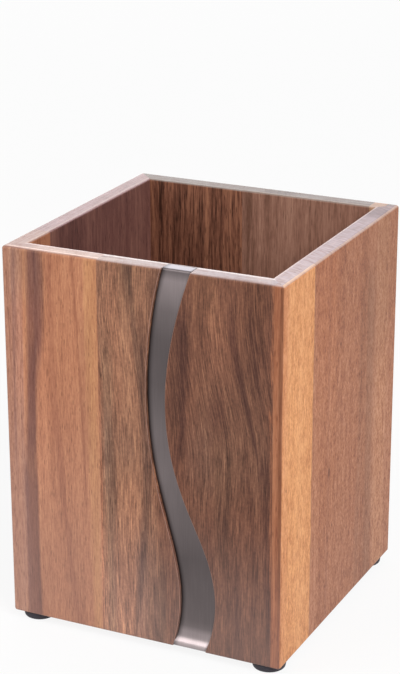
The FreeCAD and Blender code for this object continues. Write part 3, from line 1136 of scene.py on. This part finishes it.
@dataclass(frozen=True)
class Staves:
    """The glued staves of the four walls."""

    channelled: str = "front_stave_wide"
    channel_ease: float = 0.3
    front_reach: float = 1.2
    wall_slope: float = 0.3
    channel_span: tuple[float, float] = (-17.1, 55.0)
    merge_gap: float = 0.001
    flat_angle: float = 0.5
    # paler colour of the channel's eased edges: rubbed wear and painted highlight
    rubbed: Colour = (0.30, 0.165, 0.125)

    def build(self) -> None:
        """Dresses every stave, and eases the edges of the strip's channel."""
        for node, finish in STAVE_FINISHES.items():
            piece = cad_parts[node]
            material = finish.material()
            if node == self.channelled:
                # the channel's eased edges are paler, as wear and as painted highlight
                rubbed = MouldedFinish("rubbed_channel_edge", self.rubbed, 0.5, 0.6)
                piece = self._eased_copy(piece, material, rubbed.material())
                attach(piece, ROOT)
                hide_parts(node)
            else:
                dress(piece, material)
            LOG.info("stave %s in %s", node, finish.name)

    def _mark_channel(self, body: bmesh.types.BMesh) -> None:
        """Gives the channel's two long front edges a bevel weight.

        Args:
            body: the stave's merged mesh.
        """
        weight = body.edges.layers.float.new("bevel_weight_edge")
        low, high = self.channel_span
        for edge in body.edges:
            middle = sum((corner.co for corner in edge.verts), Vector()) / len(edge.verts)
            at_front = middle.y < (FRONT + self.front_reach) * MM
            walls = [face for face in edge.link_faces if abs(face.normal.x) > self.wall_slope]
            if at_front and low < middle.x / MM < high and len(walls) == 1:
                edge[weight] = 1.0

    def _eased_copy(
        self, node: bpy.types.Object, wood: bpy.types.Material, rubbed: bpy.types.Material
    ) -> bpy.types.Object:
        """A copy of the channelled stave with the channel's edges lightly rounded.

        Args:
            node: the stave as drawn.
            wood: its finish.
            rubbed: the finish of the rounded edges.

        Returns:
            The eased piece.
        """
        mesh = node.data.copy()
        body = bmesh.new()
        body.from_mesh(mesh)
        bmesh.ops.remove_doubles(body, verts=body.verts, dist=self.merge_gap * MM)
        limit = math.radians(self.flat_angle)
        bmesh.ops.dissolve_limit(body, angle_limit=limit, verts=body.verts, edges=body.edges)
        self._mark_channel(body)
        body.to_mesh(mesh)
        body.free()
        worker = link(bpy.data.objects.new("channel_worker", mesh))
        dress(worker, wood)
        mesh.materials.append(rubbed)
        bevel(worker, self.channel_ease, 2, "WEIGHT", material=1)
        return settled(worker, "front_stave_channelled")


@dataclass(frozen=True)
class Base:
    """The three boards of the base, whose grain runs from front to back."""

    woods: tuple[tuple[str, Tones], ...] = (
        ("base_board_left", Palette.BROWN.scaled(1.0, 1.2, 1.0)),
        ("base_board_middle", Palette.PINK.darker(0.85)),
        ("base_board_right", Palette.BROWN),
    )
    first_seed: float = 50.0
    seed_step: float = 3.7

    def build(self) -> None:
        """Dresses the boards."""
        for place, (board, wood) in enumerate(self.woods):
            seed = self.first_seed + self.seed_step * place
            dress(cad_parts[board], WoodFinish("wood_" + board, wood, seed=seed).material())
            LOG.info("base board %s", board)


class ShapeWriter(NodeWriter):
    """Writes a Geometry Nodes tree with named inputs and one geometry output."""

    def __init__(self, name: str) -> None:
        """Starts a tree.

        Args:
            name: the tree's name.
        """
        super().__init__(bpy.data.node_groups.new(name, "GeometryNodeTree"))
        self.tree.interface.new_socket(
            "Geometry", in_out="OUTPUT", socket_type="NodeSocketGeometry"
        )
        self.values: dict[str, object] = {}

    def inputs(self, **given: tuple[str, object]) -> dict[str, Socket]:
        """Adds the tree's inputs.

        Args:
            given: each input's socket type and its value, or None for the object's own mesh.

        Returns:
            The sockets by name.
        """
        for name, (kind, value) in given.items():
            item = self.tree.interface.new_socket(
                name, in_out="INPUT", socket_type="NodeSocket" + kind
            )
            if value is not None:
                self.values[item.identifier] = value
        entry = self.add("NodeGroupInput")
        return {name: entry.outputs[name] for name in given}

    def stored(self, mesh: Socket, name: str, kind: str, domain: str, value: Socket) -> Socket:
        """Stores a named attribute.

        Args:
            mesh: the mesh that gets it.
            name: the attribute's name.
            kind: Blender's name of its type.
            domain: Blender's name of what carries it.
            value: its value.

        Returns:
            The mesh with the attribute.
        """
        inputs = {"Geometry": mesh, "Name": name, "Value": value}
        kinds = {"data_type": kind, "domain": domain}
        return self.add("GeometryNodeStoreNamedAttribute", inputs, **kinds).outputs[0]

    def finish(self, shape: Socket, material: Socket) -> None:
        """Makes instances real, sets the material and links the output.

        Args:
            shape: the finished geometry.
            material: the material input.
        """
        smooth = self.add("GeometryNodeSetShadeSmooth", {"Geometry": shape}).outputs[0]
        real = self.add("GeometryNodeRealizeInstances", {0: smooth}).outputs[0]
        paint = self.add("GeometryNodeSetMaterial", {"Geometry": real, "Material": material})
        self.add("NodeGroupOutput", {0: paint.outputs[0]})

    def worker(self, mesh: bpy.types.Mesh) -> bpy.types.Object:
        """An object that runs the tree on a mesh.

        Args:
            mesh: what the modifier starts from.

        Returns:
            The object, with the tree as its first modifier.
        """
        worker = link(bpy.data.objects.new(self.tree.name + "_worker", mesh))
        maker = worker.modifiers.new(self.tree.name, "NODES")
        maker.node_group = self.tree
        for identifier, value in self.values.items():
            maker[identifier] = value
        return worker


@dataclass(frozen=True)
class SteelStrip:
    """The curved strip: one ribbon of steel from its tab on the rim to its tab below."""

    node: str = "steel_strip"
    rows: int = 640
    bend_steps: int = 24
    thickness: float = 0.95
    side_fit: float = 0.2
    recess: float = 1.5
    top_tab: float = 6.75
    low_tab: float = 7.9
    top_bend: float = 1.05
    kick_bend: float = 7.0
    foot_bend: float = 2.0
    kick_angle: float = 28.0
    edge_ease: float = 0.14
    edge_angle: float = 60.0

    def build(self) -> None:
        """Makes the strip over its solid, and dresses the tape behind it."""
        tape = MouldedFinish("bonding_tape", (0.55, 0.54, 0.5), roughness=0.8)
        dress(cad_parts["strip_tape"], tape.material())
        worker = self._tree().worker(self._profile())
        plate = worker.modifiers.new("plate", "SOLIDIFY")
        plate.thickness = self.thickness * MM
        plate.offset = -1.0
        sharp = math.radians(self.edge_angle)
        bevel(worker, self.edge_ease, 2, "ANGLE", angle_limit=sharp, harden_normals=True)
        piece = settled(worker, "curved_steel_strip")
        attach(piece, ROOT)
        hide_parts(self.node)
        LOG.info("steel strip, %d faces, and its tape", len(piece.data.polygons))

    def _profile(self) -> bpy.types.Mesh:
        """Draws the strip's side line.

        Returns:
            Its corner points, each with the radius of its bend.
        """
        angle = math.radians(self.kick_angle)
        face = FRONT + self.recess
        slack = self.foot_bend * ((1.0 + math.sin(angle)) / math.cos(angle) - 1.0)
        toe = FRONT - slack
        kick = FOOT + (face - toe) / math.tan(angle)
        corners = (
            (FRONT + self.top_tab, RIM, 0.0),
            (face, RIM, self.top_bend),
            (face, kick, self.kick_bend),
            (toe, FOOT, self.foot_bend),
            (FRONT + self.low_tab, FOOT, 0.0),
        )
        mesh = bpy.data.meshes.new("strip_side_line")
        points = [(0.0, y * MM, z * MM) for y, z, bend in corners]
        mesh.from_pydata(points, [(at, at + 1) for at in range(len(points) - 1)], [])
        bends = mesh.attributes.new("bend", "FLOAT", "POINT")
        for item, (y, z, bend) in zip(bends.data, corners):
            item.value = bend * MM
        return mesh

    def _tree(self) -> ShapeWriter:
        """The tree that sweeps the ribbon down its side line.

        Returns:
            The tree with its inputs.
        """
        pen = ShapeWriter("steel_strip_maker")
        given = pen.inputs(
            Geometry=("Geometry", None),
            Outline=("Object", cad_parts[self.node]),
            Rows=("Int", self.rows),
            Thickness=("Float", self.thickness * MM),
            Side_fit=("Float", self.side_fit * MM),
            Finish=("Material", SteelFinish().material()),
        )
        sheet = pen.add("GeometryNodeMeshGrid", {"Vertices X": 2, "Vertices Y": given["Rows"]})
        width, run = pen.split(sheet.outputs["UV Map"])[:2]
        place, tangent = self._course(pen, given["Geometry"], run)
        inward = pen.combine(0.0, pen.math("MULTIPLY", tangent[2], -1.0), tangent[1])
        half = pen.math("MULTIPLY", given["Thickness"], 0.5)
        inputs = {0: inward, 1: pen.combine(half, half, half), 2: place}
        core = pen.add("ShaderNodeVectorMath", inputs, operation="MULTIPLY_ADD").outputs[0]
        outline = pen.add(
            "GeometryNodeObjectInfo", {"Object": given["Outline"]}, transform_space="ORIGINAL"
        ).outputs["Geometry"]
        left = self._edge(pen, outline, core, 0.0, 1.0)
        right = self._edge(pen, outline, core, HALF * MM, -1.0)
        left = pen.math("SUBTRACT", left, given["Side_fit"])
        right = pen.math("ADD", right, given["Side_fit"])
        across = pen.math("MULTIPLY_ADD", pen.math("SUBTRACT", right, left), width, left)
        path = pen.split(place)
        spot = {"Geometry": sheet.outputs["Mesh"], "Position": pen.combine(across, *path[1:])}
        moved = pen.add("GeometryNodeSetPosition", spot).outputs[0]
        gaps = (pen.math("SUBTRACT", across, left), pen.math("SUBTRACT", right, across))
        inset = pen.combine(*gaps, 0.0)
        marked = pen.stored(moved, "inset", "FLOAT_VECTOR", "POINT", inset)
        pen.finish(pen.add("GeometryNodeFlipFaces", {0: marked}).outputs[0], given["Finish"])
        return pen

    def _course(
        self, pen: ShapeWriter, line: Socket, run: Socket
    ) -> tuple[Socket, tuple[Socket, Socket, Socket]]:
        """Rounds the side line's bends and reads it.

        Args:
            pen: writer of the tree.
            line: the side line's mesh.
            run: where it is read, from 0 to 1.

        Returns:
            The place on the line, and the three numbers of its direction there.
        """
        curve = pen.add("GeometryNodeMeshToCurve", {"Mesh": line}).outputs["Curve"]
        bend = pen.add("GeometryNodeInputNamedAttribute", {"Name": "bend"}, data_type="FLOAT")
        inputs = {"Curve": curve, "Count": self.bend_steps, "Radius": bend.outputs["Attribute"]}
        rounded = pen.add("GeometryNodeFilletCurve", inputs, mode="POLY").outputs["Curve"]
        inputs = {"Curves": rounded, "Factor": run}
        follow = pen.add("GeometryNodeSampleCurve", inputs, mode="FACTOR")
        return follow.outputs["Position"], pen.split(follow.outputs["Tangent"])

    def _edge(
        self, pen: ShapeWriter, outline: Socket, core: Socket, start: float, heading: float
    ) -> Socket:
        """Finds one side edge of the strip by looking along the wall at the solid.

        Args:
            pen: writer of the tree.
            outline: the solid.
            core: points on the middle of the strip's thickness.
            start: where along X the look starts, in metres.
            heading: 1 to look to the right and -1 to look to the left.

        Returns:
            The edge's place along X.
        """
        inputs = {
            "Target Geometry": outline,
            "Source Position": pen.combine(start, *pen.split(core)[1:]),
            "Ray Direction": (heading, 0.0, 0.0),
            "Ray Length": HALF * MM,
        }
        return pen.split(pen.add("GeometryNodeRaycast", inputs).outputs["Hit Position"])[0]


@dataclass(frozen=True)
class Feet:
    """Four stick-on rubber feet, each with a dished sole, and their glue."""

    nodes: tuple[str, ...] = (
        "foot_front_left",
        "foot_front_right",
        "foot_back_left",
        "foot_back_right",
    )
    spacing: float = 104.0
    radius: float = 7.0
    sole_radius: float = 6.5
    height: float = 3.2
    sole_round: float = 0.9
    ring_share: float = 0.66
    dish_share: float = 0.86
    dish_depth: float = 0.5
    sides: int = 56
    sole_level: float = 0.05
    sole_rim_share: float = 0.95

    def build(self) -> None:
        """Makes the four feet as one rubber set, and dresses the glue above them."""
        worker = self._tree().worker(bpy.data.meshes.new("feet_seed"))
        bevel(worker, self.sole_round, 4, "WEIGHT", harden_normals=True)
        piece = settled(worker, "rubber_feet")
        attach(piece, ROOT)
        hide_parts(*self.nodes)
        glue = MouldedFinish("foot_glue", (0.12, 0.12, 0.12), roughness=0.7)
        dress(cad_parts["foot_glue_discs"], glue.material())
        LOG.info("four rubber feet, %d faces, and their glue", len(piece.data.polygons))

    def _tree(self) -> ShapeWriter:
        """The tree that moulds one foot and sets it out four times.

        Returns:
            The tree with its inputs.
        """
        pen = ShapeWriter("rubber_feet_maker")
        rubber = MouldedFinish("black_foot_rubber", (0.024, 0.020, 0.028))
        given = pen.inputs(
            Spacing=("Float", self.spacing * MM),
            Radius=("Float", self.radius * MM),
            Sole_radius=("Float", self.sole_radius * MM),
            Height=("Float", self.height * MM),
            Ring_share=("Float", self.ring_share),
            Dish_share=("Float", self.dish_share),
            Dish_depth=("Float", self.dish_depth * MM),
            Sides=("Int", self.sides),
            Finish=("Material", rubber.material()),
        )
        shape = {
            "Vertices": given["Sides"],
            "Radius Top": given["Radius"],
            "Radius Bottom": given["Sole_radius"],
            "Depth": given["Height"],
        }
        foot = pen.add("GeometryNodeMeshCone", shape).outputs
        ring, face = self._inset(pen, foot["Mesh"], foot["Bottom"], given["Ring_share"])
        dish, face = self._inset(pen, ring, face, given["Dish_share"])
        lift = pen.combine(0.0, 0.0, given["Dish_depth"])
        inputs = {"Geometry": dish, "Selection": face, "Offset": lift}
        raised = pen.add("GeometryNodeSetPosition", inputs).outputs[0]
        weight = self._sole_edges(pen, given["Sole_radius"])
        weighed = pen.stored(raised, "bevel_weight_edge", "FLOAT", "EDGE", weight)
        square = {"Size X": given["Spacing"], "Size Y": given["Spacing"]}
        square = pen.add("GeometryNodeMeshGrid", square | {"Vertices X": 2, "Vertices Y": 2})
        inputs = {"Points": square.outputs["Mesh"], "Instance": weighed}
        placed = pen.add("GeometryNodeInstanceOnPoints", inputs)
        pen.finish(placed.outputs[0], given["Finish"])
        return pen

    def _inset(
        self, pen: ShapeWriter, mesh: Socket, face: Socket, share: Socket
    ) -> tuple[Socket, Socket]:
        """Draws a smaller face inside a face.

        Args:
            pen: writer of the tree.
            mesh: the mesh so far.
            face: selection of the face.
            share: the new face's size as a share of the old one's.

        Returns:
            The mesh, and the selection of the new face.
        """
        inputs = {"Mesh": mesh, "Selection": face, "Offset Scale": 0.0}
        doubled = pen.add("GeometryNodeExtrudeMesh", inputs, mode="FACES").outputs
        inputs = {"Geometry": doubled["Mesh"], "Selection": doubled["Top"], "Scale": share}
        shrunk = pen.add("GeometryNodeScaleElements", inputs, domain="FACE")
        return shrunk.outputs[0], doubled["Top"]

    def _sole_edges(self, pen: ShapeWriter, radius: Socket) -> Socket:
        """1 on the ring of edges round the sole, which is rounded, and 0 elsewhere.

        Args:
            pen: writer of the tree.
            radius: the sole's radius.

        Returns:
            The weight of each edge.
        """
        x, y, z = pen.split(pen.add("GeometryNodeInputPosition").outputs[0])
        low = pen.math("LESS_THAN", z, self.sole_level * MM)
        out = pen.math("ADD", pen.math("POWER", x, 2.0), pen.math("POWER", y, 2.0))
        rim = pen.math("MULTIPLY", radius, self.sole_rim_share)
        outer = pen.math("GREATER_THAN", pen.math("SQRT", out), rim)
        return pen.math("MULTIPLY", low, outer)


@dataclass(frozen=True)
class Lamp:
    """One square soft lamp that faces the object: metres and watts."""

    name: str
    place: Triple
    size: float
    power: float

    AIM = Vector((0.0, 0.0, 0.08))

    def build(self) -> None:
        """Hangs the lamp."""
        light = bpy.data.lights.new(self.name, "AREA")
        light.shape = "SQUARE"
        light.size = self.size
        light.energy = self.power
        holder = link(bpy.data.objects.new(self.name, light))
        holder.location = self.place
        aim = self.AIM - Vector(self.place)
        holder.rotation_euler = aim.to_track_quat("-Z", "Y").to_euler()


@dataclass(frozen=True)
class Studio:
    """Pale floor, soft lamps, even sky and the camera, in metres and degrees."""

    floor_reach: float = 9.0
    floor_grey: float = 0.88
    floor_glow: float = 0.88
    sky_light: float = 0.34
    lamps: tuple[Lamp, ...] = (
        Lamp("key_lamp", (1.05, -0.65, 1.2), 0.8, 19.0),
        Lamp("fill_lamp", (-0.9, -1.05, 0.95), 1.2, 8.5),
        Lamp("back_lamp", (-0.75, 1.35, 0.8), 2.0, 11.0),
    )
    camera_place: Triple = (0.337916, -0.708571, 0.394673)
    camera_turn: Triple = (70.2845, 0.1214, 25.6556)
    camera_lens: float = 108.76
    camera_sensor: float = 36.0
    camera_reach: tuple[float, float] = (0.05, 60.0)

    def build(self) -> None:
        """Sets up everything round the object."""
        self._floor()
        self._sky()
        for lamp in self.lamps:
            lamp.build()
        self._camera()
        bpy.context.scene.view_settings.view_transform = "Standard"
        LOG.info("studio, lamps and camera")

    def _seen(self, pen: NodeWriter) -> Socket:
        """Tells the rays of the camera, of gloss and of glass from the rest.

        Args:
            pen: writer of the floor's or the sky's tree.

        Returns:
            1 for such a ray and 0 for the rest.
        """
        path = pen.add("ShaderNodeLightPath").outputs
        seen = pen.math("MAXIMUM", path["Is Camera Ray"], path["Is Glossy Ray"])
        return pen.math("MAXIMUM", seen, path["Is Transmission Ray"])

    def _floor(self) -> None:
        """Lays the floor, which glows a little so that it stays pale."""
        mesh = bpy.data.meshes.new("floor")
        reach = self.floor_reach
        turns = ((-1.0, -1.0), (1.0, -1.0), (1.0, 1.0), (-1.0, 1.0))
        mesh.from_pydata([(x * reach, y * reach, 0.0) for x, y in turns], [], [(0, 1, 2, 3)])
        floor = link(bpy.data.objects.new("floor", mesh))
        material = new_material("pale_floor")
        pen = NodeWriter(material.node_tree)
        plain = pen.add("ShaderNodeBsdfDiffuse", {"Color": (self.floor_grey,) * 3}).outputs[0]
        glow = pen.add("ShaderNodeEmission", {"Strength": 1.0}).outputs[0]
        share = pen.math("MULTIPLY", self._seen(pen), self.floor_glow)
        mixed = pen.add("ShaderNodeMixShader", {0: share, 1: plain, 2: glow}).outputs[0]
        pen.add("ShaderNodeOutputMaterial", {"Surface": mixed})
        dress(floor, material)

    def _sky(self) -> None:
        """An even white sky, dimmer for the light that it casts."""
        world = bpy.data.worlds.new("even_sky")
        world.use_nodes = True
        bpy.context.scene.world = world
        pen = NodeWriter(world.node_tree)
        strength = pen.math("MULTIPLY_ADD", self._seen(pen), 1.0 - self.sky_light, self.sky_light)
        inputs = {"Color": (1.0, 1.0, 1.0), "Strength": strength}
        sky = pen.add("ShaderNodeBackground", inputs).outputs[0]
        pen.add("ShaderNodeOutputWorld", {"Surface": sky})

    def _camera(self) -> None:
        """Places the camera."""
        eye = bpy.data.cameras.new("camera")
        eye.lens = self.camera_lens
        eye.sensor_width = self.camera_sensor
        eye.clip_start, eye.clip_end = self.camera_reach
        holder = link(bpy.data.objects.new("camera", eye))
        holder.location = self.camera_place
        holder.rotation_euler = [math.radians(turn) for turn in self.camera_turn]
        bpy.context.scene.camera = holder


def main() -> None:
    """Builds the caddy's sub-assemblies in order, then the studio round it."""
    logging.basicConfig(level=logging.INFO, format="%(name)s: %(message)s")
    for part in (Staves(), Base(), SteelStrip(), Feet(), Studio()):
        part.build()


if __name__ == "__main__":
    main()
